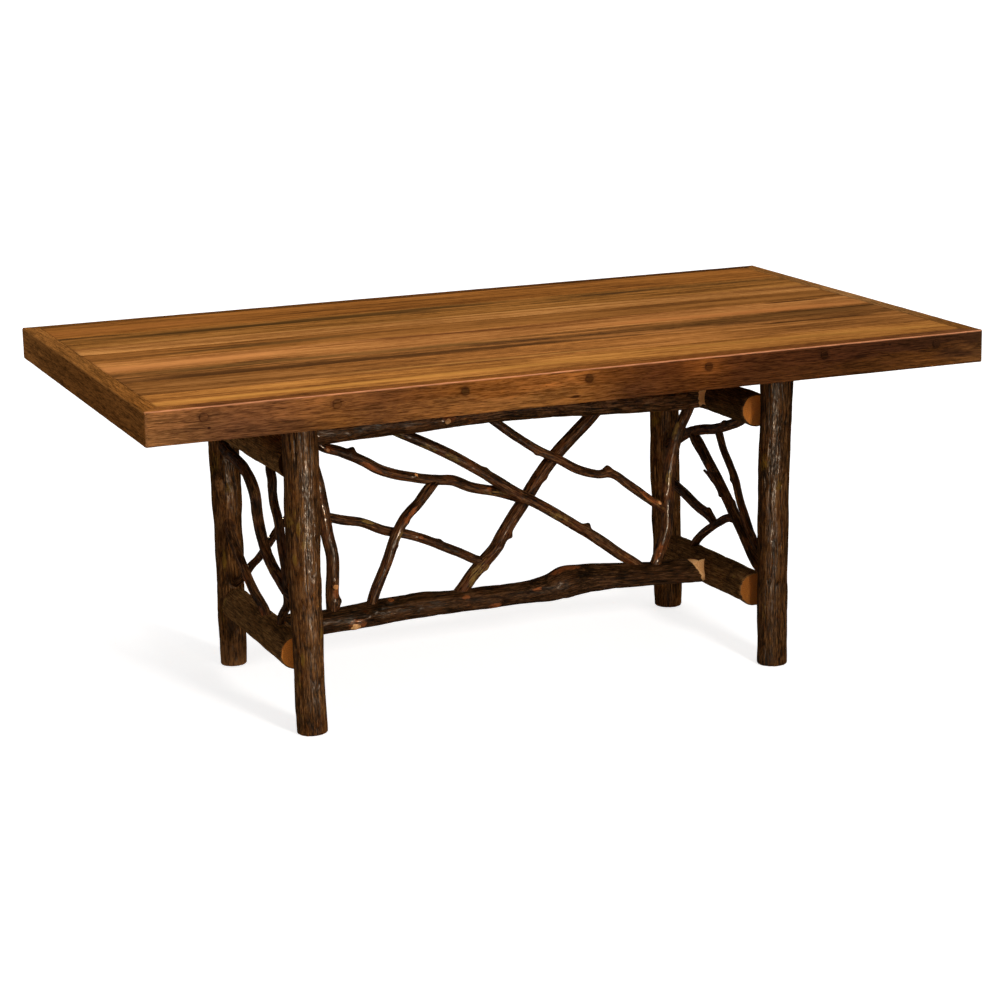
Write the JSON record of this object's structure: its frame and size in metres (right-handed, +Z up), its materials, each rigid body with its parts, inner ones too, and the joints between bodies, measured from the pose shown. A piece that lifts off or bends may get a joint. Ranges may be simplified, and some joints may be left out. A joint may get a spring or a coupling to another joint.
{
  "type": "rustic dining table",
  "caption": "Rustic dining table: a pegged and mitred plank top on bark-covered hickory log legs, with cross logs, a stretcher and a twig lattice between them.",
  "frame": {"origin": "on the floor, under the middle of the tabletop", "axes": "+X along the table's length, to the right as seen from the front; -Y to the front; +Z up"},
  "size_m": [1.8288, 1.0668, 0.762],
  "materials": {
    "plank_1_wood": "satin lacquer",
    "plank_2_wood": "satin lacquer",
    "plank_3_wood": "satin lacquer",
    "plank_4_wood": "satin lacquer",
    "plank_5_wood": "satin lacquer",
    "plank_6_wood": "satin lacquer",
    "plank_7_wood": "satin lacquer",
    "plank_8_wood": "satin lacquer",
    "plank_9_wood": "satin lacquer",
    "rim_wood": "rough-sawn weathered wood, satin lacquer",
    "batten_wood": "bare sawn wood",
    "peg_wood": "satin lacquer",
    "hickory_bark": "bark, satin lacquer",
    "branch_bark": "smooth bark, gloss lacquer",
    "steel_screws": "zinc plated",
    "zinc_hardware": "zinc plated",
    "wire_nails": "plain steel"
  },
  "bodies": {
    "root": {"batten_centre": "batten_wood", "batten_left_end": "batten_wood", "batten_left_leg": "batten_wood", "batten_right_end": "batten_wood", "batten_right_leg": "batten_wood", "batten_screws": "steel_screws", "bolt_washers": "zinc_hardware", "centre_branch_1": "branch_bark", "centre_branch_2": "branch_bark", "centre_branch_3": "branch_bark", "centre_branch_4": "branch_bark", "centre_branch_5": "branch_bark", "centre_branch_6": "branch_bark", "centre_branch_7": "branch_bark", "centre_branch_8": "branch_bark", "corner_splines": "peg_wood", "cross_log_lower_left": "hickory_bark", "cross_log_lower_right": "hickory_bark", "cross_log_upper_left": "hickory_bark", "cross_log_upper_right": "hickory_bark", "crossing_nails": "wire_nails", "end_dowels_left": "peg_wood", "end_dowels_right": "peg_wood", "left_branch_1": "branch_bark", "left_branch_2": "branch_bark", "left_branch_3": "branch_bark", "left_branch_4": "branch_bark", "left_branch_5": "branch_bark", "leg_back_left": "hickory_bark", "leg_back_right": "hickory_bark", "leg_bolts": "zinc_hardware", "leg_front_left": "hickory_bark", "leg_front_right": "hickory_bark", "long_rail_upper": "hickory_bark", "pegs_back": "peg_wood", "pegs_front": "peg_wood", "plank_1": "plank_1_wood", "plank_2": "plank_2_wood", "plank_3": "plank_3_wood", "plank_4": "plank_4_wood", "plank_5": "plank_5_wood", "plank_6": "plank_6_wood", "plank_7": "plank_7_wood", "plank_8": "plank_8_wood", "plank_9": "plank_9_wood", "right_branch_1": "branch_bark", "right_branch_2": "branch_bark", "right_branch_3": "branch_bark", "right_branch_4": "branch_bark", "right_branch_5": "branch_bark", "rim_back": "rim_wood", "rim_front": "rim_wood", "rim_left": "rim_wood", "rim_right": "rim_wood", "rim_screws_back": "steel_screws", "rim_screws_front": "steel_screws", "stretcher": "hickory_bark"}
  },
  "joints": []
}
